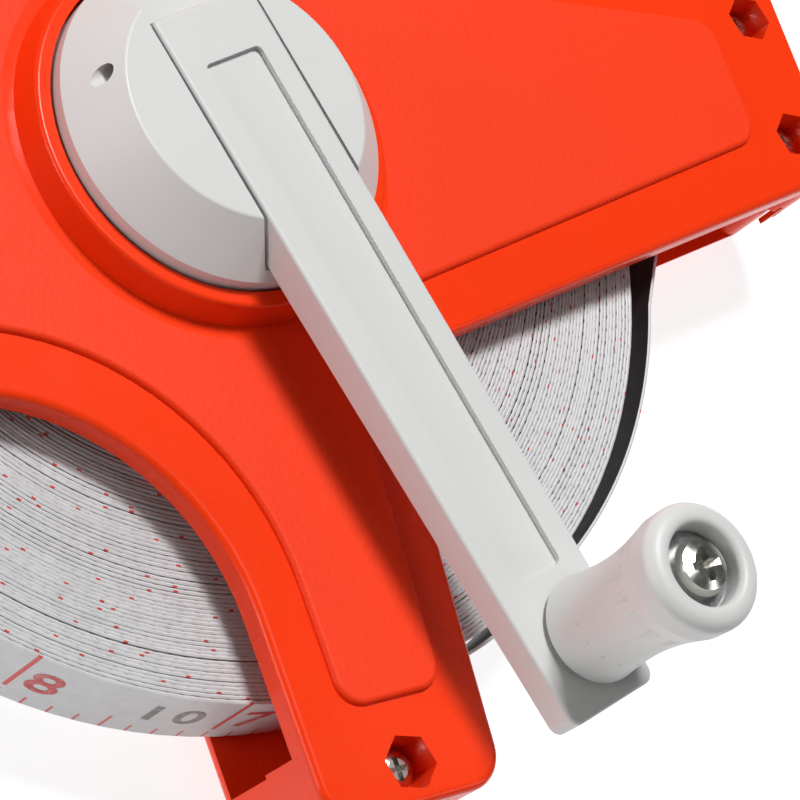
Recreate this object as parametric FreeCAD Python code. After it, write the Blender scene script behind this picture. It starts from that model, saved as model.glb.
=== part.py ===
import FreeCAD, Part
import math
import os

# Open-frame surveyor's tape reel, lying on its back.
# Origin: where the reel's axis meets the back rest plane. +Z is the reel's axis, towards the crank.
# +X runs along the arm that the tape leaves by, +Y towards the hand grip. Millimetres.

# ---- levels along the reel's axis ----
panel_height = 0.8
back_face_z = panel_height
back_inner_z = 3.8
tape_low_z = 4.4
tape_width = 13.0
tape_top_z = tape_low_z + tape_width
tape_mid_z = tape_low_z + tape_width / 2
front_face_z = 24.0
front_skin = 3.4
front_inner_z = front_face_z - front_skin
seam_z = 14.2
disc_seat_z = 24.6
ring_top_z = 28.8
disc_rim_z = 30.6
disc_top_z = 36.7
arm_thick = 5.0
arm_top_z = 37.0
arm_low_z = arm_top_z - arm_thick
slot_floor_z = arm_low_z - 0.3
knob_tip_z = 60.3
core_low_z = back_inner_z + 0.5
core_top_z = tape_top_z + 0.6
web_low_z = core_top_z - 5.2
spigot_low_z = core_top_z
disc_under_z = disc_seat_z + 1.0
washer_seat_z = disc_seat_z + 3.6

# ---- radii about the reel's axis ----
core_r = 24.6
core_wall = 3.0
roll_r = 69.6
ring_foot_r = 25.2
ring_top_r = 23.9
disc_r = 21.7
disc_top_r = 16.2
bearing_r = 18.0
post_r = 6.0
side_wall_start_r = 77.2
mouth_wall_x = 95.8
mouth_wall_r = 3.0
lead_r = 70.3
drum_screw_circle_r = 14.5
peg_x = core_r - 1.3

# ---- fits and walls ----
running_gap = 0.05
free_gap = 0.4
wall = 2.4
tape_thick = 0.5
back_inset = 1.15
grip_edge_r = 2.4

# ---- frame arms ----
mouth_end_x = 104.0
short_arm_end = 85.2
arm_root_x = 27.0
arm_root_half = 29.6
arm_taper = 0.18
foot_left_x = -14.6
foot_right_x = 11.1
grip_top_y = 133.0
grip_half = 56.0
grip_root_x = 33.0

# ---- fasteners ----
screw_r = 1.6
screw_head_r = 2.6
screw_head_h = 2.2
screw_tip_z = 1.6
hex_flats = 6.2
hex_turn = -15.0
hex_floor_z = 18.9
front_boss_r = 4.2
back_boss_r = 3.4
hub_screw_r = 2.0
hub_washer_r = 7.0
hub_washer_thick = 1.0
drum_screw_r = 1.5
knob_screw_r = 1.5

# ---- crank: u runs along the arm from the reel's axis, p across it ----
crank_angle = -76.8
arm_tail = -12.5
arm_end = 84.0
arm_half_hub = 8.0
arm_half_end = 7.3
arm_offset = 0.9
arm_edge_r = 0.5
recess_start = -5.2
recess_end = 66.5
recess_margin = 3.5
recess_depth = 0.8
hinge_u = -9.2
hinge_z = arm_low_z + arm_thick / 2
hinge_pin_r = 1.1
hinge_pin_half = 11.0
knob_u = 75.2
knob_p = 3.1
knob_post_r = 3.2
knob_seat_z = knob_tip_z - 3.0
knob_bore_r = 4.9
knob_r = 7.9
flute_count = 16
flute_r = 1.0

# ---- mouth rollers, free lap and tape end ----
roller_x = 87.0
roller_y = 4.6
roller_r = 4.0
roller_pivot_r = 1.5
lead_start_angle = -86.0
lead_leave_angle = -56.0
lead_angle = 57.0
lead_bulge = (55.9, -44.4)
lead_knee = (66.2, -28.2)
mouth_slot_half = 1.5
mouth_passage_half = 4.8
clip_start_x = 107.0
clip_end_x = 116.5
clip_half_thick = 0.85
clip_grip = 4.0
rivet_x = clip_start_x + clip_grip / 2 + 0.2
rivet_r = 1.0
eye_pivot_x = 118.5
eye_centre_x = 131.0
eye_hole_r = 7.5
eye_r = 10.3
eye_half_thick = 0.8
eye_neck_half = 3.0
eye_pin_r = 1.2

UP = FreeCAD.Vector(0, 0, 1)
ACROSS = FreeCAD.Vector(0, 1, 0)


def arm_half(x):
    """Half width of the mouth arm, and of the arm opposite, at a distance from the axis."""
    return arm_root_half - arm_taper * (x - arm_root_x)


# outline corners, anticlockwise: x, y, corner radius
frame_corners = [
    (mouth_end_x, -arm_half(mouth_end_x), 5.0),
    (mouth_end_x, arm_half(mouth_end_x), 5.0),
    (grip_root_x, arm_half(grip_root_x), 14.0),
    (grip_half, grip_top_y, 22.0),
    (-grip_half, grip_top_y, 22.0),
    (-grip_root_x, arm_half(grip_root_x), 14.0),
    (-short_arm_end, arm_half(short_arm_end), 7.0),
    (-short_arm_end, -arm_half(short_arm_end), 7.0),
    (foot_left_x, -arm_half(-foot_left_x), 32.5),
    (foot_left_x, -short_arm_end, 5.0),
    (foot_right_x, -short_arm_end, 5.0),
    (16.0, -31.6, 3.0),
]
finger_hole_corners = [(34.0, 81.0, 11.0), (39.0, 108.0, 11.0), (-39.0, 108.0, 11.0), (-34.0, 81.0, 11.0)]
panel_corners = [
    (90.0, -9.2, 4.0),
    (90.0, 9.2, 4.0),
    (23.4, 22.65, 12.0),
    (46.0, 125.0, 14.0),
    (-46.0, 125.0, 14.0),
    (-23.4, 22.65, 12.0),
    (-72.4, 12.75, 4.0),
    (-72.4, -12.75, 4.0),
    (-8.1, -25.7, 38.0),
    (-8.1, -72.4, 3.5),
    (6.6, -72.4, 3.5),
    (10.2, -25.2, 3.0),
]
screw_places = [
    (97.9, -9.2),
    (97.9, 9.2),
    (-1.3, -80.1),
    (-79.9, 0.0),
    (36.0, 76.5),
    (-36.0, 76.5),
    (42.0, 121.0),
    (-42.0, 121.0),
]
roller_places = {"mouth_roller_lower": -roller_y, "mouth_roller_upper": roller_y}
drum_screw_places = [
    (drum_screw_circle_r * math.cos(math.radians(a)), drum_screw_circle_r * math.sin(math.radians(a)))
    for a in (90, 210, 330)
]
tab_places = [(98.3, 99.2, 10.5), (100.0, 102.3, 11.6)]
tab_thick = 0.8
rivet_levels = (tape_low_z + 3.2, tape_top_z - 3.2)


# ---- shape helpers ----
def vec(x, y, z=0.0):
    return FreeCAD.Vector(x, y, z)


def outline(corners, z):
    """Closed wire through corners, each rounded by its own radius."""
    arcs = []
    count = len(corners)
    for i, (x, y, radius) in enumerate(corners):
        here = vec(x, y, z)
        before = vec(*corners[i - 1][:2], z) - here
        after = vec(*corners[(i + 1) % count][:2], z) - here
        before.normalize()
        after.normalize()
        half = before.getAngle(after) / 2
        middle = before + after
        middle.normalize()
        centre = here + middle * (radius / math.sin(half))
        run = radius / math.tan(half)
        arcs.append((here + before * run, centre - middle * radius, here + after * run))
    edges = []
    for i, (start, mid, end) in enumerate(arcs):
        edges.append(Part.Arc(start, mid, end).toShape())
        edges.append(Part.makeLine(end, arcs[(i + 1) % count][0]))
    return Part.Wire(edges)


def inset(corners, distance):
    """Corners of the outline moved inwards by a distance, with radii that keep the wall even."""
    count = len(corners)
    moved = []
    for i, (x, y, radius) in enumerate(corners):
        x0, y0 = corners[i - 1][:2]
        x1, y1 = corners[(i + 1) % count][:2]
        in_length = math.hypot(x - x0, y - y0)
        out_length = math.hypot(x1 - x, y1 - y)
        n_in = (-(y - y0) / in_length, (x - x0) / in_length)
        n_out = (-(y1 - y) / out_length, (x1 - x) / out_length)
        scale = distance / (1 + n_in[0] * n_out[0] + n_in[1] * n_out[1])
        turn = (x - x0) * (y1 - y) - (y - y0) * (x1 - x)
        new_radius = radius - distance if turn > 0 else radius + distance
        moved.append((x + scale * (n_in[0] + n_out[0]), y + scale * (n_in[1] + n_out[1]), max(new_radius, 0.6)))
    return moved


def slab(corners, low, high):
    """Upright solid on an outline between two levels."""
    return Part.Face(outline(corners, low)).extrude(vec(0, 0, high - low))


def cylinder(radius, low, high, x=0.0, y=0.0):
    return Part.makeCylinder(radius, high - low, vec(x, y, low), UP)


def cross_rod(radius, x, z, half, y=0.0):
    """Rod along Y, centred at x, y, z."""
    return Part.makeCylinder(radius, 2 * half, vec(x, y - half, z), ACROSS)


def ring(outer, inner, low, high, x=0.0, y=0.0):
    return cylinder(outer, low, high, x, y).cut(cylinder(inner, low - 1, high + 1, x, y))


def box(x0, x1, y0, y1, z0, z1):
    return Part.makeBox(x1 - x0, y1 - y0, z1 - z0, vec(x0, y0, z0))


def turned(profile, x=0.0, y=0.0):
    """Solid of revolution about a vertical line, from (radius, z) points."""
    points = [vec(radius, 0, z) for radius, z in profile]
    solid = Part.Face(Part.makePolygon(points + points[:1])).revolve(vec(0, 0, 0), UP, 360)
    solid.translate(vec(x, y))
    return solid


def edges_at(shape, z, rule=lambda edge: True):
    """Edges that lie wholly at one level and meet a rule."""
    flat = [e for e in shape.Edges if abs(e.BoundBox.ZMin - z) < 1e-4 and abs(e.BoundBox.ZMax - z) < 1e-4]
    return [edge for edge in flat if rule(edge)]


def is_upright(edge):
    b = edge.BoundBox
    return b.XLength < 1e-4 and b.YLength < 1e-4


def fused(first, *others):
    return first.fuse(list(others)).removeSplitter()


def rectangle(x, y, z, half_x, half_y):
    corners = ((-1, -1), (1, -1), (1, 1), (-1, 1), (-1, -1))
    return Part.makePolygon([vec(x + sx * half_x, y + sy * half_y, z) for sx, sy in corners])


def cross_recess(radius, depth, top, x, y):
    """Cross recess: two tapered blades that cross on the screw's axis."""
    thin = 0.22 * radius
    blades = []
    for half_x, half_y in ((radius, thin), (thin, radius)):
        mouth = rectangle(x, y, top + 0.1, half_x, half_y)
        floor = rectangle(x, y, top - depth, 0.4 * half_x + 0.1, 0.4 * half_y + 0.1)
        blades.append(Part.makeLoft([mouth, floor], True, True))
    return blades[0].fuse(blades[1])


def pan_screw(shank_r, head_r, head_h, tip, seat, x=0.0, y=0.0):
    """Pan-head screw pointing down: a shank with a short point, a domed head and a cross recess."""
    top = seat + head_h
    screw = turned(
        [
            (0, tip),
            (shank_r, tip + shank_r),
            (shank_r, seat),
            (head_r, seat),
            (head_r, seat + 0.45 * head_h),
            (0.86 * head_r, seat + 0.8 * head_h),
            (0.5 * head_r, top),
            (0, top),
        ],
        x,
        y,
    )
    return screw.cut(cross_recess(0.62 * head_r, 0.7 * head_h, top, x, y))


def to_crank(shape):
    """Turn a shape modelled along +X to the crank's resting direction."""
    shape.rotate(vec(0, 0, 0), UP, crank_angle)
    return shape


def turned_point(x, y, degrees):
    angle = math.radians(degrees)
    return (x * math.cos(angle) - y * math.sin(angle), x * math.sin(angle) + y * math.cos(angle))


# ---- frame halves ----
def mouth_end(corners, start, low, high):
    """The part of an outline's slab that lies beyond a distance along the mouth arm."""
    return slab(corners, low, high).common(box(start, mouth_end_x + 1, -arm_root_half, arm_root_half, low, high))


def mouth_box(corners, low, high):
    """Closed box at the mouth arm's end, rounded where it starts, with a passage through it for the tape."""
    block = mouth_end(corners, mouth_wall_x, low, high)
    start_corners = [edge for edge in block.Edges if edge.BoundBox.XMax < mouth_wall_x + 0.01 and is_upright(edge)]
    block = block.makeFillet(mouth_wall_r, start_corners)
    block = block.cut(mouth_end(inset(frame_corners, back_inset + wall), mouth_wall_x + wall, low, high))
    middle_x = (mouth_wall_x + mouth_end_x) / 2
    block = block.cut(box(mouth_wall_x - 1, middle_x, -mouth_passage_half, mouth_passage_half, low, high))
    return block.cut(box(middle_x, mouth_end_x + 1, -mouth_slot_half, mouth_slot_half, low, high))


def side_walls(corners, low, high):
    """Walls that close the gap at the arms' ends, round the grip and round the finger hole."""
    outer = slab(corners, low, high).cut(slab(inset(frame_corners, back_inset + wall), low, high))
    hole_wall = slab(inset(finger_hole_corners, -wall), low, high).cut(slab(finger_hole_corners, low, high))
    walls = outer.fuse(hole_wall).cut(cylinder(side_wall_start_r, low, high))
    walls = walls.cut(box(grip_half, mouth_end_x + 1, -arm_root_half, arm_root_half, low, high))
    return walls.fuse(mouth_box(corners, low, high))


def bosses(radius, low, high):
    return [cylinder(radius, low, high, x, y) for x, y in screw_places]


def raised_panel(low, high, edge_z):
    """Raised field on a frame half, rounded at its edge and open round the finger hole."""
    panel = slab(panel_corners, low, high)
    panel = panel.makeFillet(0.75, edges_at(panel, edge_z))
    return panel.cut(slab(inset(finger_hole_corners, -7.0), low - 1, high + 1))


def grip_edge(shape, z):
    """Round the finger hole's edge at one level."""
    hole = slab(finger_hole_corners, z - 1, z + 1).BoundBox

    def is_hole_edge(edge):
        b = edge.BoundBox
        return b.XMin > hole.XMin - 0.1 and b.XMax < hole.XMax + 0.1 and b.YMin > hole.YMin - 0.1 and b.YMax < 109

    return shape.makeFillet(grip_edge_r, edges_at(shape, z, is_hole_edge))


def hex_prism(low, high, x, y):
    corner_r = hex_flats / 2 / math.cos(math.pi / 6)
    turns = [math.radians(60 * i + hex_turn) for i in range(7)]
    points = [vec(x + corner_r * math.cos(a), y + corner_r * math.sin(a), low) for a in turns]
    return Part.Face(Part.makePolygon(points)).extrude(vec(0, 0, high - low))


def mouth_tabs():
    """Two small tabs that hang from the front half's wall, just outside the back half's."""
    solids = []
    for start, end, low in tab_places:
        inner_y = tab_thick - arm_half(start)
        solids.append(slab(frame_corners, low, seam_z + 1).common(box(start, end, -30, inner_y, low, seam_z + 1)))
    return solids


def front_frame():
    plate = slab(frame_corners, front_inner_z, front_face_z)
    plate = plate.makeFillet(1.0, edges_at(plate, front_face_z))
    plate = plate.cut(slab(finger_hole_corners, front_inner_z - 1, front_face_z + 1))
    plate = grip_edge(plate, front_face_z)
    panel_top = front_face_z + panel_height
    panel = raised_panel(front_face_z - 0.5, panel_top, panel_top)
    hub_ring = turned([(0, front_face_z - 1), (ring_foot_r, front_face_z), (ring_top_r, ring_top_z), (0, ring_top_z)])
    hub_ring = hub_ring.makeFillet(0.6, edges_at(hub_ring, ring_top_z))
    walls = side_walls(frame_corners, seam_z, front_inner_z)
    body = fused(plate, panel, hub_ring, walls, *mouth_tabs(), *bosses(front_boss_r, seam_z, front_inner_z + 1))
    body = body.cut(cylinder(disc_r + free_gap, disc_seat_z, ring_top_z + 1))
    body = body.cut(cylinder(bearing_r + running_gap, front_inner_z - 3, ring_top_z))
    for x, y in screw_places:
        body = body.cut(hex_prism(hex_floor_z, front_face_z + 2, x, y))
        body = body.cut(cylinder(screw_r + 0.2, seam_z - 1, hex_floor_z + 1, x, y))
    for y in roller_places.values():
        body = body.cut(cylinder(roller_pivot_r + running_gap, front_inner_z - 1, front_inner_z + 1.8, roller_x, y))
    return body


def back_frame():
    corners = inset(frame_corners, back_inset)
    plate = slab(corners, back_face_z, back_inner_z)
    plate = plate.makeFillet(2.6, edges_at(plate, back_face_z))
    plate = plate.cut(slab(finger_hole_corners, back_face_z - 1, back_inner_z + 1))
    plate = grip_edge(plate, back_face_z)
    panel = raised_panel(0, back_face_z + 0.5, 0)
    walls = side_walls(corners, back_inner_z, seam_z)
    post = cylinder(post_r, back_inner_z - 1, washer_seat_z)
    body = fused(plate, panel, walls, post, *bosses(back_boss_r, back_inner_z - 1, seam_z))
    body = body.cut(cylinder(hub_screw_r, 8.0, washer_seat_z + 1))
    for x, y in screw_places:
        body = body.cut(cylinder(screw_r, screw_tip_z, seam_z + 1, x, y))
    for y in roller_places.values():
        body = body.cut(cylinder(roller_pivot_r + running_gap, back_inner_z - 1.8, back_inner_z + 1, roller_x, y))
    return body


def frame_screws():
    screws = [pan_screw(screw_r, screw_head_r, screw_head_h, screw_tip_z, hex_floor_z, x, y) for x, y in screw_places]
    return Part.makeCompound(screws)


# ---- reel ----
def drum_core():
    """Spool that the tape is wound on, with a bearing tube for the frame's post."""
    rim = ring(core_r, core_r - core_wall, core_low_z, core_top_z)
    web = ring(core_r - core_wall + 1, post_r + running_gap, web_low_z, core_top_z)
    tube = ring(post_r + 4.0, post_r + running_gap, core_low_z, core_top_z)
    core = fused(rim, web, tube)
    for x, y in drum_screw_places:
        core = core.cut(cylinder(drum_screw_r + 0.2, web_low_z - 1, core_top_z + 1, x, y))
    core = core.cut(cylinder(1.2, core_low_z - 1, core_top_z + 1, peg_x, 0))
    return core.cut(box(peg_x, core_r + 1, -0.6, 0.6, core_low_z - 1, core_top_z + 1))


def drum_screws():
    """Three screws that hold the core to the disc, driven from below."""
    solids = []
    for x, y in drum_screw_places:
        screw = pan_screw(drum_screw_r, 2.7, 2.2, -9.6, 0.0)
        screw.rotate(vec(0, 0, 0), vec(1, 0, 0), 180)
        screw.translate(vec(x, y, web_low_z))
        solids.append(screw)
    return Part.makeCompound(solids)


def tape_anchor_peg():
    return cylinder(1.15, tape_low_z, tape_top_z, peg_x, 0)


def tape_roll():
    return ring(roll_r, core_r, tape_low_z, tape_top_z)


def crank_disc():
    """Conical disc with a bearing spigot below and a slot across its top for the arm."""
    disc = turned(
        [
            (0, spigot_low_z),
            (bearing_r, spigot_low_z),
            (bearing_r, disc_under_z),
            (disc_r, disc_under_z),
            (disc_r, disc_rim_z),
            (disc_top_r, disc_top_z),
            (0, disc_top_z),
        ]
    )
    disc = disc.makeFillet(0.5, edges_at(disc, disc_top_z, lambda edge: edge.Length > 50))
    low_p = arm_offset - arm_half_hub - 0.3
    high_p = arm_offset + arm_half_hub + 0.3
    tail_room = 4.6
    cuts = [
        box(-30, 30, low_p, high_p, slot_floor_z, disc_top_z + 1),
        box(hinge_u - tail_room, hinge_u + tail_room, low_p, high_p, hinge_z - tail_room + 0.1, disc_top_z + 1),
        cross_rod(hinge_pin_r, hinge_u, hinge_z, 30),
        cylinder(post_r + running_gap, spigot_low_z - 1, washer_seat_z),
        cylinder(hub_washer_r + 0.3, washer_seat_z - free_gap, disc_top_z + 1),
    ]
    for x, y in drum_screw_places:
        cuts.append(cylinder(drum_screw_r, spigot_low_z - 1, spigot_low_z + 5, *turned_point(x, y, -crank_angle)))
    return to_crank(disc.cut(cuts))


def hinge_pin():
    return to_crank(cross_rod(hinge_pin_r, hinge_u, hinge_z, hinge_pin_half))


def hub_washer():
    return ring(hub_washer_r, hub_screw_r + 0.2, washer_seat_z, washer_seat_z + hub_washer_thick)


def hub_screw():
    return pan_screw(hub_screw_r, 4.0, screw_head_h, 10.0, washer_seat_z + hub_washer_thick)


def thrust_washer():
    return ring(disc_r - 0.3, bearing_r + 0.35, disc_seat_z + 0.1, disc_under_z - 0.1)


# ---- crank arm and knob ----
def crank_arm():
    """Flat arm with a shallow recess along its top and a post for the knob."""
    plan = [
        (arm_tail, arm_offset - arm_half_hub, 0.8),
        (arm_end, arm_offset - arm_half_end, 1.6),
        (arm_end, arm_offset + arm_half_end, 1.6),
        (arm_tail, arm_offset + arm_half_hub, 0.8),
    ]
    end_low_z = arm_low_z + 0.8
    side = [(arm_tail, arm_low_z), (25, arm_low_z), (arm_end, end_low_z), (arm_end, arm_top_z), (arm_tail, arm_top_z)]
    side_points = [vec(u, -20, z) for u, z in side + side[:1]]
    side_prism = Part.Face(Part.makePolygon(side_points)).extrude(vec(0, 40, 0))
    blade = slab(plan, arm_low_z - 1, arm_top_z + 1).common(side_prism)
    not_tail = [e for e in edges_at(blade, arm_top_z) if e.BoundBox.XMax > arm_tail + 1]
    blade = blade.makeFillet(arm_edge_r, not_tail)
    margin_hub = arm_half_hub - recess_margin
    margin_end = arm_half_end - recess_margin
    recess = [
        (recess_start, arm_offset - margin_hub, 0.8),
        (recess_end, arm_offset - margin_end, 0.8),
        (recess_end, arm_offset + margin_end, 0.8),
        (recess_start, arm_offset + margin_hub, 0.8),
    ]
    blade = blade.cut(slab(recess, arm_top_z - recess_depth, arm_top_z + 1))
    arm = fused(blade, cylinder(knob_post_r, arm_top_z - 1, knob_seat_z - 0.1, knob_u, knob_p))
    arm = arm.cut(cross_rod(hinge_pin_r + running_gap, hinge_u, hinge_z, 30))
    arm = arm.cut(cylinder(knob_screw_r, knob_seat_z - 14, knob_seat_z, knob_u, knob_p))
    return to_crank(arm)


def crank_knob():
    """Waisted grip that flares to a rounded end, with shallow flutes and a counterbore for its screw."""
    base = arm_top_z + 0.2
    waist = [(6.8, base + 0.6), (6.35, base + 5), (6.3, base + 10), (6.9, base + 15), (7.75, base + 19)]
    flank = Part.BSplineCurve()
    flank.interpolate([vec(radius, 0, z) for radius, z in waist])
    bore = knob_post_r + running_gap
    floor_z = knob_seat_z - 0.2
    corners = [
        (knob_r, knob_tip_z),
        (knob_bore_r, knob_tip_z),
        (knob_bore_r, floor_z),
        (bore, floor_z),
        (bore, base),
        (6.2, base),
        waist[0],
    ]
    rest = Part.makePolygon([vec(radius, 0, z) for radius, z in [waist[-1]] + corners])
    knob = Part.Face(Part.Wire([flank.toShape()] + rest.Edges)).revolve(vec(0, 0, 0), UP, 360)
    knob = knob.makeFillet(1.8, edges_at(knob, knob_tip_z, lambda edge: edge.BoundBox.XMax > knob_r - 0.1))
    knob = knob.makeFillet(0.9, edges_at(knob, knob_tip_z, lambda edge: edge.BoundBox.XMax < knob_bore_r + 0.1))
    flutes = []
    for i in range(flute_count):
        angle = 2 * math.pi * i / flute_count
        out = vec(math.cos(angle), math.sin(angle))
        flutes.append(Part.makeCylinder(flute_r, 11.0, out * 7.25 + vec(0, 0, base + 5.5), out * 0.045 + UP))
    knob = knob.cut(flutes)
    knob.translate(vec(*turned_point(knob_u, knob_p, crank_angle)))
    return knob


def knob_screw():
    x, y = turned_point(knob_u, knob_p, crank_angle)
    return pan_screw(knob_screw_r, 3.5, 2.5, knob_seat_z - 13, knob_seat_z + 0.5, x, y)


def knob_washer():
    x, y = turned_point(knob_u, knob_p, crank_angle)
    return ring(4.5, 1.7, knob_seat_z - 0.1, knob_seat_z + 0.5, x, y)


# ---- mouth and tape end ----
def mouth_roller(y):
    """Small roller between the frame halves, turning on its own pivots."""
    low, high = back_inner_z + 0.4, front_inner_z - 0.4
    profile = [
        (0, back_inner_z - 1.4),
        (roller_pivot_r, back_inner_z - 1.4),
        (roller_pivot_r, low),
        (roller_r, low),
        (roller_r, high),
        (roller_pivot_r, high),
        (roller_pivot_r, front_inner_z + 1.4),
        (0, front_inner_z + 1.4),
    ]
    return turned(profile, roller_x, y)


def polar(radius, degrees, x=0.0, y=0.0):
    """Point at an angle on a circle, at the tape's lower edge."""
    angle = math.radians(degrees)
    return vec(x + radius * math.cos(angle), y + radius * math.sin(angle), tape_low_z)


def lead_path():
    """The free lap of tape: round the roll, off it in a slack curve, over the lower roller and out."""
    first = polar(lead_r, lead_start_angle)
    off_roll = polar(lead_r, lead_leave_angle)
    knee = vec(*lead_knee, tape_low_z)
    onto_roller = polar(roller_y, lead_angle + 90, roller_x, -roller_y)
    crest = polar(roller_y, lead_angle / 2 + 90, roller_x, -roller_y)
    off_roller = vec(roller_x, 0, tape_low_z)
    return Part.Wire(
        [
            Part.Arc(first, polar(lead_r, (lead_start_angle + lead_leave_angle) / 2), off_roll).toShape(),
            Part.Arc(off_roll, vec(*lead_bulge, tape_low_z), knee).toShape(),
            Part.makeLine(knee, onto_roller),
            Part.Arc(onto_roller, crest, off_roller).toShape(),
            Part.makeLine(off_roller, vec(clip_start_x + clip_grip, 0, tape_low_z)),
        ]
    )


def tape_lead():
    inner = polar(lead_r - tape_thick / 2, lead_start_angle)
    outer = polar(lead_r + tape_thick / 2, lead_start_angle)
    rise = vec(0, 0, tape_width)
    shell = Part.BRepOffsetAPI.MakePipeShell(lead_path())
    shell.setTransitionMode(1)
    shell.setBiNormalMode(UP)
    shell.add(Part.makePolygon([inner, outer, outer + rise, inner + rise, inner]))
    shell.build()
    shell.makeSolid()
    return shell.shape().cut([cross_rod(rivet_r, rivet_x, z, 2) for z in rivet_levels])


def end_clip():
    """Folded steel strip over the tape's end, rolled round the eye's pin."""
    low, high = tape_low_z - 0.3, tape_top_z + 0.3
    cheeks = box(clip_start_x, eye_pivot_x - 1.4, -clip_half_thick, clip_half_thick, low, high)
    tape_slot = box(clip_start_x - 1, clip_start_x + clip_grip, -tape_thick / 2, tape_thick / 2, low - 1, high + 1)
    barrel = ring(2.0, eye_pin_r, low, high, eye_pivot_x, 0)
    clip = fused(cheeks.cut(tape_slot), barrel)
    gap = eye_neck_half + free_gap
    clip = clip.cut(box(eye_pivot_x - 2.5, eye_pivot_x + 3, -3, 3, tape_mid_z - gap, tape_mid_z + gap))
    return clip.cut([cross_rod(rivet_r, rivet_x, z, 2) for z in rivet_levels])


def end_rivets():
    rivets = []
    for z in rivet_levels:
        shank = cross_rod(rivet_r, rivet_x, z, clip_half_thick)
        heads = [cross_rod(1.6, rivet_x, z, 0.225, side * (clip_half_thick + 0.225)) for side in (-1, 1)]
        rivets.append(fused(shank, *heads))
    return Part.makeCompound(rivets)


def end_pin():
    return cylinder(eye_pin_r, tape_low_z - 0.6, tape_top_z + 0.6, eye_pivot_x, 0)


def end_eye():
    """Flat steel eye, with a knuckle that turns on the pin."""
    low, high = tape_mid_z - eye_neck_half, tape_mid_z + eye_neck_half
    plate = cross_rod(eye_r, eye_centre_x, tape_mid_z, eye_half_thick)
    neck = box(eye_pivot_x + 1, eye_centre_x, -eye_half_thick, eye_half_thick, low, high)
    eye = fused(plate, neck, cylinder(2.1, low, high, eye_pivot_x, 0))
    eye = eye.cut(cross_rod(eye_hole_r, eye_centre_x, tape_mid_z, 3))
    return eye.cut(cylinder(eye_pin_r + running_gap, low - 1, high + 1, eye_pivot_x, 0))


makers = [
    front_frame,
    back_frame,
    frame_screws,
    hub_screw,
    hub_washer,
    thrust_washer,
    drum_core,
    drum_screws,
    tape_roll,
    tape_anchor_peg,
    crank_disc,
    hinge_pin,
    crank_arm,
    crank_knob,
    knob_screw,
    knob_washer,
    tape_lead,
    end_clip,
    end_rivets,
    end_pin,
    end_eye,
]
nodes = {maker.__name__: maker() for maker in makers}
for roller_name, roller_side in roller_places.items():
    nodes[roller_name] = mouth_roller(roller_side)

os.makedirs("parts", exist_ok=True)
for node_name, shape in nodes.items():
    shape.exportStep("parts/" + node_name + ".step")
    b = shape.BoundBox
    size = f"x {b.XMin:.1f} to {b.XMax:.1f}, y {b.YMin:.1f} to {b.YMax:.1f}, z {b.ZMin:.1f} to {b.ZMax:.1f}"
    print(f"{node_name:20s} valid {shape.isValid()}, solids {len(shape.Solids)}, {shape.Volume:9.1f} mm3, {size}")
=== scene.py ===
import math
import random

import bpy
import numpy as np
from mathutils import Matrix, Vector


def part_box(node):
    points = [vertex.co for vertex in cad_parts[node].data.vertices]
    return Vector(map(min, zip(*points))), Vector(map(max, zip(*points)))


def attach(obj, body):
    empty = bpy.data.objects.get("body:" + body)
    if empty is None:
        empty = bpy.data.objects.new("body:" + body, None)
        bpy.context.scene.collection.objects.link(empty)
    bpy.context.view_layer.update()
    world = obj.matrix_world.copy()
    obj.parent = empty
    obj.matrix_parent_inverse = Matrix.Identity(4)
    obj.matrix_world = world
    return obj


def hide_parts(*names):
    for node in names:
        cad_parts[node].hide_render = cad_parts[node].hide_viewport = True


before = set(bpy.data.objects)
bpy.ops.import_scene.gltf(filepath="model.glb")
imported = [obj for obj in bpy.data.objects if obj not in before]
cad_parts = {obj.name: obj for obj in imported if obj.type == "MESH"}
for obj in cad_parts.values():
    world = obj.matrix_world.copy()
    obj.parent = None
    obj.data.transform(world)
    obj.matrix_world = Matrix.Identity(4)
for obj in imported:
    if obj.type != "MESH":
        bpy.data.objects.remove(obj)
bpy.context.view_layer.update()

# The reel lies on its back on the floor at z = 0, with its axis up through the origin. Metres.
mm = 0.001

# ---- places taken from the frame ----
roll_low, roll_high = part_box("tape_roll")
roller_low, roller_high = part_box("mouth_roller_lower")
lead_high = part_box("tape_lead")[1]
core_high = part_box("drum_core")[1]

tape_low = roll_low.z
tape_high = roll_high.z
tape_middle = (tape_low + tape_high) / 2
roll_r = roll_high.x
core_r = core_high.x
roller = (roller_low + roller_high) / 2

# ---- where the frame's skin is grained ----
panel_level = 24.4 * mm
back_panel_level = 0.4 * mm
hub_ring_r = 26.5 * mm
frame_grain_scale = 1700.0
crank_grain_scale = 4500.0
grained_roughness = 0.26

# ---- tape ----
tape_thick = 0.47 * mm
edge_crown = 0.09 * mm
turns = 84
steps_a_turn = 120
leave_angle = -86.0

# ---- the free lap's way from the roll to the mouth ----
free_lap_gap = 0.7 * mm
roll_end_angle = -56.0
slack_bulge = (55.9 * mm, -44.4 * mm)
slack_knee = (66.2 * mm, -28.2 * mm)
slope_to_roller = 57.0
roller_gap = 0.6 * mm

# ---- print on the tape: each mark's half width, and how high it starts or ends ----
inch_on_tape = 27.1 * mm
inch_line_angle = -125.2
inch_half = 0.3 * mm
inch_start = 3.2 * mm
half_inch_half = 0.19 * mm
half_inch_end = 3.9 * mm
eighth_half = 0.17 * mm
eighth_end = 2.2 * mm
fine_pitch = 2 * mm
fine_half = 0.28 * mm
fine_start = 10.4 * mm
numeral_level = 6.8 * mm
inch_numeral_size = 7.6 * mm
foot_numeral_size = 6.6 * mm
inch_numeral_shift = 3.4 * mm
foot_numeral_shift = 19.6 * mm
free_numerals = 4

# ---- camera ----
camera_place = (-214.3 * mm, -122.5 * mm, 319.1 * mm)
camera_turn = (26.148, -31.051, -23.146)
camera_lens = 141.1


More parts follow.
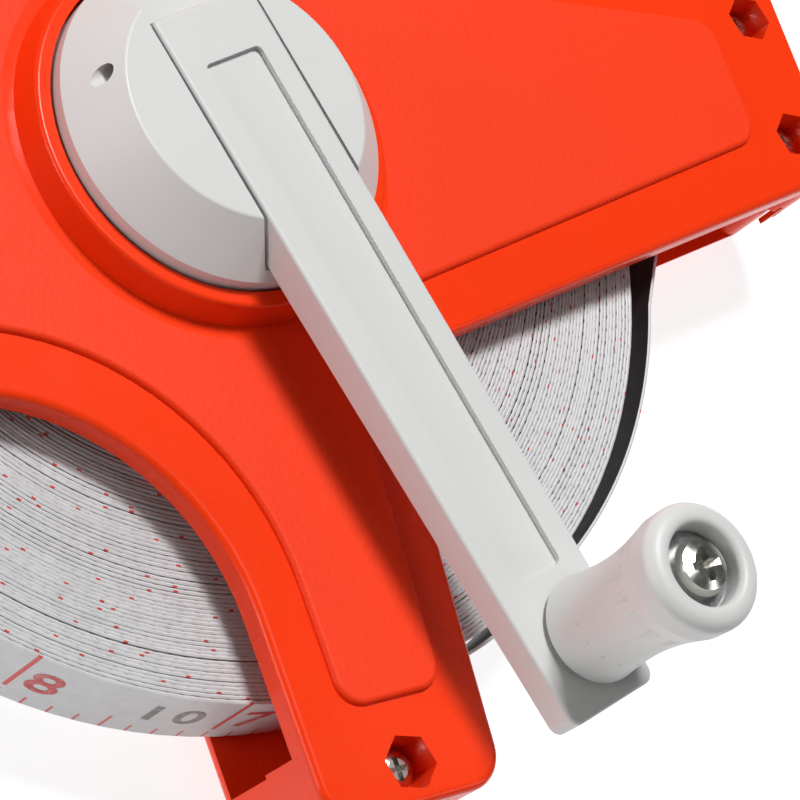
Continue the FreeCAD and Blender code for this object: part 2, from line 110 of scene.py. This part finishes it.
# ---- tools ----
def deselect():
    if bpy.context.object and bpy.context.object.mode != "OBJECT":
        bpy.ops.object.mode_set(mode="OBJECT")
    bpy.ops.object.select_all(action="DESELECT")


def pick(piece):
    """Make one object the only selected and the active one."""
    deselect()
    piece.select_set(True)
    bpy.context.view_layer.objects.active = piece


def to_mesh(piece):
    pick(piece)
    bpy.ops.object.convert(target="MESH")
    return bpy.context.object


def settle(piece):
    """Put a piece's place into its mesh."""
    pick(piece)
    bpy.ops.object.transform_apply(location=True, rotation=True, scale=True)
    return piece


# ---- node helpers ----
def new_node(tree, kind, settings=None, values=None):
    """Add a node, set its properties, then set its inputs or link them."""
    made = tree.nodes.new(kind)
    for name, value in (settings or {}).items():
        setattr(made, name, value)
    for name, value in (values or {}).items():
        if isinstance(value, bpy.types.NodeSocket):
            tree.links.new(value, made.inputs[name])
        else:
            made.inputs[name].default_value = value
    return made


def calculate(tree, operation, first, second=0.0):
    return new_node(tree, "ShaderNodeMath", {"operation": operation}, {0: first, 1: second}).outputs[0]


def blend_colour(tree, mask, first, second):
    made = new_node(tree, "ShaderNodeMix", {"data_type": "RGBA"}, {0: mask, 6: first, 7: second})
    return made.outputs[2]


def noise(tree, place, scale, detail=2.0, roughness=0.5):
    values = {"Vector": place, "Scale": scale, "Detail": detail, "Roughness": roughness}
    return new_node(tree, "ShaderNodeTexNoise", None, values).outputs[0]


def map_value(tree, value, from_low, from_high, to_low, to_high):
    values = {0: value, 1: from_low, 2: from_high, 3: to_low, 4: to_high}
    return new_node(tree, "ShaderNodeMapRange", None, values).outputs[0]


def bump(tree, height, strength, distance):
    values = {"Height": height, "Strength": strength, "Distance": distance}
    return new_node(tree, "ShaderNodeBump", None, values).outputs[0]


def object_place(tree):
    return new_node(tree, "ShaderNodeTexCoord").outputs["Object"]


def attribute(tree, name):
    return new_node(tree, "ShaderNodeAttribute", {"attribute_name": name}).outputs["Fac"]


def new_material(name):
    material = bpy.data.materials.new(name)
    material.use_nodes = True
    return material, material.node_tree, material.node_tree.nodes["Principled BSDF"]


def join(tree, output, shader, name):
    tree.links.new(output, shader.inputs[name])


# ---- shared effects ----
def new_group(name, inputs, outputs):
    group = bpy.data.node_groups.new(name, "ShaderNodeTree")
    for socket, kind, value in inputs:
        made = group.interface.new_socket(name=socket, in_out="INPUT", socket_type=kind)
        if value is not None:
            made.default_value = value
    for socket, kind in outputs:
        group.interface.new_socket(name=socket, in_out="OUTPUT", socket_type=kind)
    return group, group.nodes.new("NodeGroupInput"), group.nodes.new("NodeGroupOutput")


def make_moulded_surface():
    """Colour drift and a faint skin roughness of moulded plastic."""
    inputs = [
        ("Place", "NodeSocketVector", None),
        ("Colour", "NodeSocketColor", (0.5, 0.5, 0.5, 1)),
        ("Drift", "NodeSocketFloat", 0.05),
        ("Roughness", "NodeSocketFloat", 0.35),
    ]
    outputs = [("Colour", "NodeSocketColor"), ("Roughness", "NodeSocketFloat"), ("Skin", "NodeSocketFloat")]
    group, given, result = new_group("moulded_surface", inputs, outputs)
    cloudy = noise(group, given.outputs["Place"], 45.0, 3.0)
    centred = calculate(group, "SUBTRACT", cloudy, 0.5)
    factor = calculate(group, "MULTIPLY_ADD", centred, given.outputs["Drift"])
    factor.node.inputs[2].default_value = 1.0
    scaled = new_node(group, "ShaderNodeVectorMath", {"operation": "SCALE"}, {0: given.outputs["Colour"]})
    group.links.new(factor, scaled.inputs["Scale"])
    group.links.new(scaled.outputs[0], result.inputs["Colour"])
    smears = noise(group, given.outputs["Place"], 160.0, 4.0, 0.6)
    rough = calculate(group, "MULTIPLY_ADD", calculate(group, "SUBTRACT", smears, 0.5), 0.14)
    group.links.new(given.outputs["Roughness"], rough.node.inputs[2])
    group.links.new(rough, result.inputs["Roughness"])
    group.links.new(noise(group, given.outputs["Place"], 1400.0, 2.0), result.inputs["Skin"])
    return group


def make_spark_grain():
    """Fine pitted grain of a spark-eroded mould face."""
    inputs = [("Place", "NodeSocketVector", None), ("Scale", "NodeSocketFloat", 3000.0)]
    group, given, result = new_group("spark_grain", inputs, [("Height", "NodeSocketFloat")])
    fine = noise(group, given.outputs["Place"], given.outputs["Scale"], 3.0, 0.65)
    values = {"Vector": given.outputs["Place"], "Scale": given.outputs["Scale"]}
    pits = new_node(group, "ShaderNodeTexVoronoi", {"feature": "SMOOTH_F1"}, values)
    height = calculate(group, "MULTIPLY", fine, pits.outputs["Distance"])
    group.links.new(height, result.inputs["Height"])
    return group


moulded_surface = make_moulded_surface()
spark_grain = make_spark_grain()


def add_moulding(tree, shader, colour, drift, roughness):
    """Drive a shader's colour and roughness from the moulded-surface effect; give back its skin height."""
    place = object_place(tree)
    effect = new_node(tree, "ShaderNodeGroup", {"node_tree": moulded_surface})
    tree.links.new(place, effect.inputs["Place"])
    effect.inputs["Colour"].default_value = (*colour, 1)
    effect.inputs["Drift"].default_value = drift
    effect.inputs["Roughness"].default_value = roughness
    join(tree, effect.outputs["Colour"], shader, "Base Color")
    join(tree, effect.outputs["Roughness"], shader, "Roughness")
    return place, effect.outputs["Skin"]


# ---- materials ----
def frame_material():
    """Orange-red moulded frame: smooth borders, spark grain on the raised panels."""
    material, tree, shader = new_material("orange_frame_plastic")
    place, skin = add_moulding(tree, shader, (0.90, 0.041, 0.003), 0.05, 0.28)
    split = new_node(tree, "ShaderNodeSeparateXYZ", None, {0: place})
    radius = new_node(tree, "ShaderNodeVectorMath", {"operation": "LENGTH"})
    flat = new_node(tree, "ShaderNodeCombineXYZ", None, {0: split.outputs[0], 1: split.outputs[1]})
    tree.links.new(flat.outputs[0], radius.inputs[0])
    front = calculate(tree, "GREATER_THAN", split.outputs[2], panel_level)
    outside = calculate(tree, "GREATER_THAN", radius.outputs["Value"], hub_ring_r)
    back = calculate(tree, "LESS_THAN", split.outputs[2], back_panel_level)
    grained = calculate(tree, "MAXIMUM", calculate(tree, "MULTIPLY", front, outside), back)
    grain = new_node(tree, "ShaderNodeGroup", {"node_tree": spark_grain})
    tree.links.new(place, grain.inputs["Place"])
    grain.inputs["Scale"].default_value = frame_grain_scale
    height = calculate(tree, "MULTIPLY", grain.outputs["Height"], grained)
    total = calculate(tree, "ADD", height, calculate(tree, "MULTIPLY", skin, 0.03))
    join(tree, bump(tree, total, 0.6, 0.08 * mm), shader, "Normal")
    smooth = shader.inputs["Roughness"].links[0].from_socket
    added = calculate(tree, "MULTIPLY", grained, grained_roughness)
    join(tree, calculate(tree, "ADD", smooth, added), shader, "Roughness")
    shader.inputs["Specular IOR Level"].default_value = 0.25
    return material


def crank_material():
    """Light grey satin plastic of the crank, its disc and the knob."""
    material, tree, shader = new_material("grey_crank_plastic")
    place, skin = add_moulding(tree, shader, (0.63, 0.63, 0.62), 0.04, 0.45)
    grain = new_node(tree, "ShaderNodeGroup", {"node_tree": spark_grain})
    tree.links.new(place, grain.inputs["Place"])
    grain.inputs["Scale"].default_value = crank_grain_scale
    total = calculate(tree, "ADD", skin, calculate(tree, "MULTIPLY", grain.outputs["Height"], 0.6))
    join(tree, bump(tree, total, 0.18, 0.02 * mm), shader, "Normal")
    return material


def plain_moulding(name, colour, roughness):
    material, tree, shader = new_material(name)
    skin = add_moulding(tree, shader, colour, 0.10, roughness)[1]
    join(tree, bump(tree, skin, 0.2, 0.02 * mm), shader, "Normal")
    return material


def metal(name, colour, roughness, scratch_scale):
    """Bare or plated metal with fine uneven polish."""
    material, tree, shader = new_material(name)
    place = object_place(tree)
    shader.inputs["Metallic"].default_value = 1.0
    stretched = new_node(tree, "ShaderNodeMapping", None, {"Vector": place, "Scale": (1.0, 1.0, 0.15)})
    polish = noise(tree, stretched.outputs[0], scratch_scale, 4.0, 0.7)
    join(tree, map_value(tree, polish, 0.3, 0.7, roughness * 0.7, roughness * 1.5), shader, "Roughness")
    stain = noise(tree, place, 600.0, 3.0)
    dull = tuple(0.82 * c for c in colour)
    join(tree, blend_colour(tree, stain, (*colour, 1), (*dull, 1)), shader, "Base Color")
    join(tree, bump(tree, polish, 0.12, 0.02 * mm), shader, "Normal")
    return material


def near_multiple(tree, value, pitch, half_width):
    """Mask of the places that lie close to a whole multiple of a pitch."""
    return calculate(tree, "LESS_THAN", calculate(tree, "PINGPONG", value, pitch / 2), half_width)


def tape_material(name, painted_shade_back):
    """White glass-fibre tape: a red inch scale outside; inside, a dark fine scale, or on the free lap an
    inner face painted near-black as painted shade.
    """
    material, tree, shader = new_material(name)
    place = object_place(tree)
    level = new_node(tree, "ShaderNodeSeparateXYZ", None, {0: place}).outputs[2]
    height = calculate(tree, "SUBTRACT", level, tape_low)
    run = attribute(tree, "run")
    side = attribute(tree, "side")
    outer = calculate(tree, "GREATER_THAN", side, 0.1)
    inner = calculate(tree, "LESS_THAN", side, -0.85)
    eighths = near_multiple(tree, run, inch_on_tape / 8, eighth_half)
    eighths = calculate(tree, "MULTIPLY", eighths, calculate(tree, "LESS_THAN", height, eighth_end))
    shifted = calculate(tree, "ADD", run, inch_on_tape / 2)
    halves = near_multiple(tree, shifted, inch_on_tape, half_inch_half)
    halves = calculate(tree, "MULTIPLY", halves, calculate(tree, "LESS_THAN", height, half_inch_end))
    inches = near_multiple(tree, run, inch_on_tape, inch_half)
    inches = calculate(tree, "MULTIPLY", inches, calculate(tree, "GREATER_THAN", height, inch_start))
    red = calculate(tree, "MAXIMUM", calculate(tree, "MAXIMUM", eighths, halves), inches)
    red = calculate(tree, "MULTIPLY", red, outer)
    fine = near_multiple(tree, run, fine_pitch, fine_half)
    fine = calculate(tree, "MULTIPLY", fine, calculate(tree, "GREATER_THAN", height, fine_start))
    # On the free lap the whole inner face is painted near-black: painted shade for the shadowed gap between
    # it and the roll.
    fine_ticks_and_painted_shade = inner if painted_shade_back else calculate(tree, "MULTIPLY", fine, inner)
    cloudy = noise(tree, place, 420.0, 4.0, 0.65)
    cloud_mask = map_value(tree, cloudy, 0.3, 0.7, 0, 1)
    paper = blend_colour(tree, cloud_mask, (0.55, 0.55, 0.56, 1), (0.64, 0.64, 0.65, 1))
    with_red = blend_colour(tree, red, paper, (0.62, 0.07, 0.06, 1))
    # Near-black colour: the fine ticks' ink on the wound tape, and painted shade on the free lap's inner
    # face.
    colour = blend_colour(tree, fine_ticks_and_painted_shade, with_red, (0.035, 0.03, 0.035, 1))
    join(tree, colour, shader, "Base Color")
    join(tree, map_value(tree, cloudy, 0.2, 0.8, 0.38, 0.55), shader, "Roughness")
    ribs = calculate(tree, "PINGPONG", height, 0.35 * mm)
    join(tree, bump(tree, ribs, 0.25, 0.05 * mm), shader, "Normal")
    return material


def ink(name, colour):
    """Printed ink, thin and slightly patchy."""
    material, tree, shader = new_material(name)
    patchy = noise(tree, object_place(tree), 900.0, 3.0, 0.7)
    faded = tuple(c + (0.66 - c) * 0.35 for c in colour)
    mask = map_value(tree, patchy, 0.45, 0.75, 0, 1)
    join(tree, blend_colour(tree, mask, (*colour, 1), (*faded, 1)), shader, "Base Color")
    join(tree, map_value(tree, patchy, 0.2, 0.8, 0.45, 0.6), shader, "Roughness")
    return material


wound_finish = tape_material("printed_tape", False)
# The free lap's inner face gets painted shade: near-black colour standing in for the shadow in the gap beside
# the roll.
free_finish = tape_material("shade_painted_tape", True)
red_ink = ink("red_ink", (0.52, 0.05, 0.045))
grey_ink = ink("grey_ink", (0.17, 0.175, 0.165))
orange = frame_material()
grey = crank_material()
zinc = metal("bright_zinc", (0.80, 0.79, 0.74), 0.20, 900.0)
pin_steel = metal("plain_steel", (0.42, 0.42, 0.43), 0.34, 1500.0)
end_steel = metal("stamped_steel", (0.62, 0.62, 0.63), 0.28, 1100.0)
nylon = plain_moulding("grey_nylon", (0.55, 0.55, 0.53), 0.42)
black = plain_moulding("black_drum_plastic", (0.012, 0.012, 0.013), 0.45)

finishes = {
    "front_frame": orange,
    "back_frame": orange,
    "frame_screws": zinc,
    "hub_screw": zinc,
    "hub_washer": pin_steel,
    "thrust_washer": nylon,
    "drum_core": black,
    "drum_screws": zinc,
    "tape_anchor_peg": pin_steel,
    "crank_disc": grey,
    "hinge_pin": pin_steel,
    "crank_arm": grey,
    "crank_knob": grey,
    "knob_screw": zinc,
    "knob_washer": pin_steel,
    "end_clip": end_steel,
    "end_rivets": end_steel,
    "end_pin": end_steel,
    "end_eye": end_steel,
    "mouth_roller_lower": nylon,
    "mouth_roller_upper": nylon,
}
for node_name, finish in finishes.items():
    node_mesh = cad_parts[node_name].data
    node_mesh.materials.clear()
    node_mesh.materials.append(finish)


# ---- the wound tape and its free lap ----
def polar(radius, degrees, centre=(0.0, 0.0)):
    angle = math.radians(degrees)
    return (centre[0] + radius * math.cos(angle), centre[1] + radius * math.sin(angle))


def arc(centre, radius, start, end, count):
    return [polar(radius, start + (end - start) * i / count, centre) for i in range(count + 1)]


def arc_through(first, middle, last, count):
    """Points on the circular arc through three places."""
    (ax, ay), (bx, by), (cx, cy) = first, middle, last
    d = 2 * (ax * (by - cy) + bx * (cy - ay) + cx * (ay - by))
    a2, b2, c2 = ax * ax + ay * ay, bx * bx + by * by, cx * cx + cy * cy
    centre_x = (a2 * (by - cy) + b2 * (cy - ay) + c2 * (ay - by)) / d
    centre_y = (a2 * (cx - bx) + b2 * (ax - cx) + c2 * (bx - ax)) / d
    centre = (centre_x, centre_y)
    start = math.degrees(math.atan2(ay - centre[1], ax - centre[0]))
    end = math.degrees(math.atan2(cy - centre[1], cx - centre[0]))
    return arc(centre, math.hypot(ax - centre[0], ay - centre[1]), start, end, count)


def straight(first, last, count):
    (ax, ay), (bx, by) = first, last
    return [(ax + (bx - ax) * i / count, ay + (by - ay) * i / count) for i in range(count + 1)]


def wound_line(chance):
    """Middle line of the wound tape, from the drum out: some laps lie tight, some leave a gap."""
    slack = []
    for _ in range(turns + 1):
        tight = chance.random() < 0.72
        slack.append(chance.uniform(0.2, 1.0) if tight else chance.uniform(1.6, 3.2))
    first_r = core_r + tape_thick / 2 + 0.05 * mm
    room = roll_r - tape_thick / 2 - 0.05 * mm - first_r - turns * tape_thick
    gap = room / sum(slack[:turns])
    radii = [first_r]
    for i in range(turns):
        radii.append(radii[-1] + tape_thick + slack[i] * gap)
    places = np.arange(turns * steps_a_turn + 1) / steps_a_turn
    radius = np.interp(places, np.arange(turns + 1), radii)
    angle = math.radians(leave_angle) - (turns - places) * 2 * math.pi
    return np.column_stack([radius * np.cos(angle), radius * np.sin(angle)])


def free_line():
    """Middle line of the free lap: round the roll, off in a slack curve, over the lower roller and out."""
    lead_r = roll_r + free_lap_gap
    reach = roller_high.x - roller.x + roller_gap
    onto_roller = polar(reach, slope_to_roller + 90, (roller.x, roller.y))
    line = arc((0, 0), lead_r, leave_angle, roll_end_angle, 30)
    line += arc_through(line[-1], slack_bulge, slack_knee, 24)[1:]
    line += straight(slack_knee, onto_roller, 30)[1:]
    line += arc((roller.x, roller.y), reach, slope_to_roller + 90, 90, 10)[1:]
    line += straight(line[-1], (lead_high.x, line[-1][1]), 40)[1:]
    return np.array(line)


def lengths_along(line):
    steps = np.hypot(*np.diff(line, axis=0).T)
    return np.concatenate([[0.0], np.cumsum(steps)])


def outward(line):
    """Unit normals to a line, on its right-hand side, which faces away from the reel's axis."""
    along = np.gradient(line, axis=0)
    along /= np.hypot(along[:, 0], along[:, 1])[:, None]
    return np.column_stack([along[:, 1], -along[:, 0]])


def tape_strip(name, line, run, lift, finish):
    """Strip of tape standing on edge along a line, marked with its length and its two faces for the print."""
    curve = bpy.data.curves.new(name, "CURVE")
    curve.dimensions = "2D"
    curve.fill_mode = "NONE"
    spline = curve.splines.new("POLY")
    spline.points.add(len(line) - 1)
    flat = np.column_stack([line, np.zeros(len(line)), np.ones(len(line))])
    spline.points.foreach_set("co", flat.ravel())
    curve.bevel_depth = tape_thick / 2
    curve.bevel_resolution = 0
    curve.extrude = (tape_high - tape_low) / 2 - tape_thick / 2
    piece = bpy.data.objects.new(name, curve)
    bpy.context.scene.collection.objects.link(piece)
    piece = to_mesh(piece)
    mesh = piece.data
    places = np.zeros(len(mesh.vertices) * 3)
    mesh.vertices.foreach_get("co", places)
    places = places.reshape(-1, 3)
    around = len(mesh.vertices) // len(line)
    ring = np.arange(len(mesh.vertices)) // around
    offset = places[:, :2] - line[ring]
    side = (offset * outward(line)[ring]).sum(1) / (tape_thick / 2)
    half = (tape_high - tape_low) / 2
    places[:, 2] = np.sign(places[:, 2]) * np.where(np.abs(side) > 0.5, half - edge_crown, half)
    places[:, 2] += tape_middle + lift[ring]
    mesh.vertices.foreach_set("co", places.ravel())
    for label, values in (("run", run[ring]), ("side", np.clip(side, -1, 1))):
        mesh.attributes.new(label, "FLOAT", "POINT").data.foreach_set("value", values.astype(np.float32))
    mesh.materials.append(finish)
    mesh.update()
    pick(piece)
    bpy.ops.object.mode_set(mode="EDIT")
    bpy.ops.mesh.select_all(action="SELECT")
    bpy.ops.mesh.fill_holes(sides=around)
    bpy.ops.mesh.normals_make_consistent(inside=False)
    bpy.ops.object.mode_set(mode="OBJECT")
    bpy.ops.object.shade_smooth_by_angle(angle=math.radians(40))
    return piece


tape_chance = random.Random(11)
wound = wound_line(tape_chance)
wound_run = lengths_along(wound)
line_turn = (leave_angle - inch_line_angle) / 360
line_place = round((turns - line_turn) * steps_a_turn)
wound_run -= wound_run[line_place]
heights = [tape_chance.uniform(-0.14, 0.10) * mm for _ in range(turns + 1)]
wound_lift = np.interp(np.arange(len(wound)) / steps_a_turn, np.arange(turns + 1), heights)
windings = tape_strip("tape_windings", wound, wound_run, wound_lift, wound_finish)
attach(windings, "reel")
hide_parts("tape_roll")

free = free_line()
free_run = lengths_along(free) + wound_run[-1]
free_lift = 0.08 * mm * np.sin(np.linspace(0, 9, len(free)))
free_lap = tape_strip("tape_free_lap", free, free_run, free_lift, free_finish)
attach(free_lap, "frame")
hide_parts("tape_lead")


# ---- printed numerals ----
def numeral(name, text, size, strip, centre_run, finish, body):
    """A printed number, laid on the outer face of a strip of tape at a place along it."""
    line, run = strip
    deselect()
    bpy.ops.object.text_add(location=(0, 0, 0))
    piece = bpy.context.object
    piece.name = name
    piece.data.body = text
    piece.data.size = size
    piece.data.offset = 0.018 * size
    piece.data.align_x = "CENTER"
    piece.data.align_y = "CENTER"
    piece.data.space_character = 1.25
    piece.data.resolution_u = 4
    piece = to_mesh(piece)
    bpy.ops.object.mode_set(mode="EDIT")
    bpy.ops.mesh.select_all(action="SELECT")
    bpy.ops.mesh.quads_convert_to_tris()
    bpy.ops.mesh.subdivide(number_cuts=1)
    bpy.ops.object.mode_set(mode="OBJECT")
    faces_out = outward(line)
    stand_off = tape_thick / 2 + 0.03 * mm
    for vertex in piece.data.vertices:
        where = centre_run + 1.15 * vertex.co.x
        x = np.interp(where, run, line[:, 0]) + stand_off * np.interp(where, run, faces_out[:, 0])
        y = np.interp(where, run, line[:, 1]) + stand_off * np.interp(where, run, faces_out[:, 1])
        vertex.co = (x, y, tape_low + numeral_level + vertex.co.y)
    piece.name = name
    piece.data.materials.append(finish)
    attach(piece, body)
    return piece


def inch_label(inch):
    """The number printed beside an inch line, counted down along the tape from the 8."""
    return str((8 - inch) % 12 or 12)


last_lap = turns * steps_a_turn - steps_a_turn
outer_lap = (wound[last_lap:], wound_run[last_lap:])
free_strip = (free, free_run)
lap_start, lap_end = outer_lap[1][0], outer_lap[1][-1]
first_inch = math.ceil(lap_start / inch_on_tape)
last_inch = math.floor((lap_end - 6 * mm) / inch_on_tape)
for inch in range(first_inch, last_inch + 1):
    number = inch - first_inch
    start = inch * inch_on_tape
    shifted = start + inch_numeral_shift
    numeral(f"inch_{number}", inch_label(inch), inch_numeral_size, outer_lap, shifted, red_ink, "reel")
    if start + 20 * mm < lap_end:
        shifted = start + foot_numeral_shift
        numeral(f"foot_{number}", "10", foot_numeral_size, outer_lap, shifted, grey_ink, "reel")
for i in range(free_numerals):
    inch = last_inch + 1 + i
    start = inch * inch_on_tape
    if free_run[0] < start < free_run[-1] - 40 * mm:
        shifted = start + inch_numeral_shift
        numeral(f"free_inch_{i}", inch_label(inch), inch_numeral_size, free_strip, shifted, red_ink, "frame")


# ---- floor, light and camera ----
def floor_plane():
    deselect()
    bpy.ops.mesh.primitive_plane_add(size=6.0, location=(0, 0, -0.1 * mm))
    floor = bpy.context.object
    floor.name = "floor"
    material, tree, shader = new_material("pale_floor")
    shade = noise(tree, object_place(tree), 3.0)
    join(tree, blend_colour(tree, shade, (0.36, 0.36, 0.36, 1), (0.39, 0.39, 0.39, 1)), shader, "Base Color")
    shader.inputs["Roughness"].default_value = 0.9
    shader.inputs["Emission Color"].default_value = (1, 1, 1, 1)
    shader.inputs["Emission Strength"].default_value = 0.8
    floor.data.materials.append(material)
    settle(floor)


def softbox(name, azimuth, elevation, distance, size, watts, colour=(1, 1, 1)):
    """Square soft light that faces the reel."""
    light = bpy.data.lights.new(name, "AREA")
    light.size = size
    light.energy = watts
    light.color = colour
    lamp = bpy.data.objects.new(name, light)
    a, e = math.radians(azimuth), math.radians(elevation)
    lamp.location = distance * Vector((math.cos(a) * math.cos(e), math.sin(a) * math.cos(e), math.sin(e)))
    lamp.rotation_euler = (-lamp.location).to_track_quat("-Z", "Y").to_euler()
    bpy.context.scene.collection.objects.link(lamp)


def studio():
    world = bpy.data.worlds.new("white_room")
    world.use_nodes = True
    world.node_tree.nodes["Background"].inputs[0].default_value = (1, 1, 1, 1)
    world.node_tree.nodes["Background"].inputs[1].default_value = 0.07
    bpy.context.scene.world = world
    bpy.context.scene.view_settings.view_transform = "Standard"
    softbox("key_light", 75.0, 66.0, 1.2, 0.24, 13.0)
    softbox("left_fill", 170.0, 14.0, 1.1, 0.4, 3.6)
    softbox("front_fill", 250.0, 30.0, 1.3, 0.6, 0.5)
    softbox("rim_light", 320.0, 35.0, 1.2, 0.3, 1.2)
    softbox("top_light", 0.0, 89.0, 1.2, 0.3, 0.8)


def view_camera():
    lens = bpy.data.cameras.new("camera")
    lens.lens = camera_lens
    camera = bpy.data.objects.new("camera", lens)
    camera.location = camera_place
    camera.rotation_euler = [math.radians(turn) for turn in camera_turn]
    bpy.context.scene.collection.objects.link(camera)
    bpy.context.scene.camera = camera


floor_plane()
studio()
view_camera()
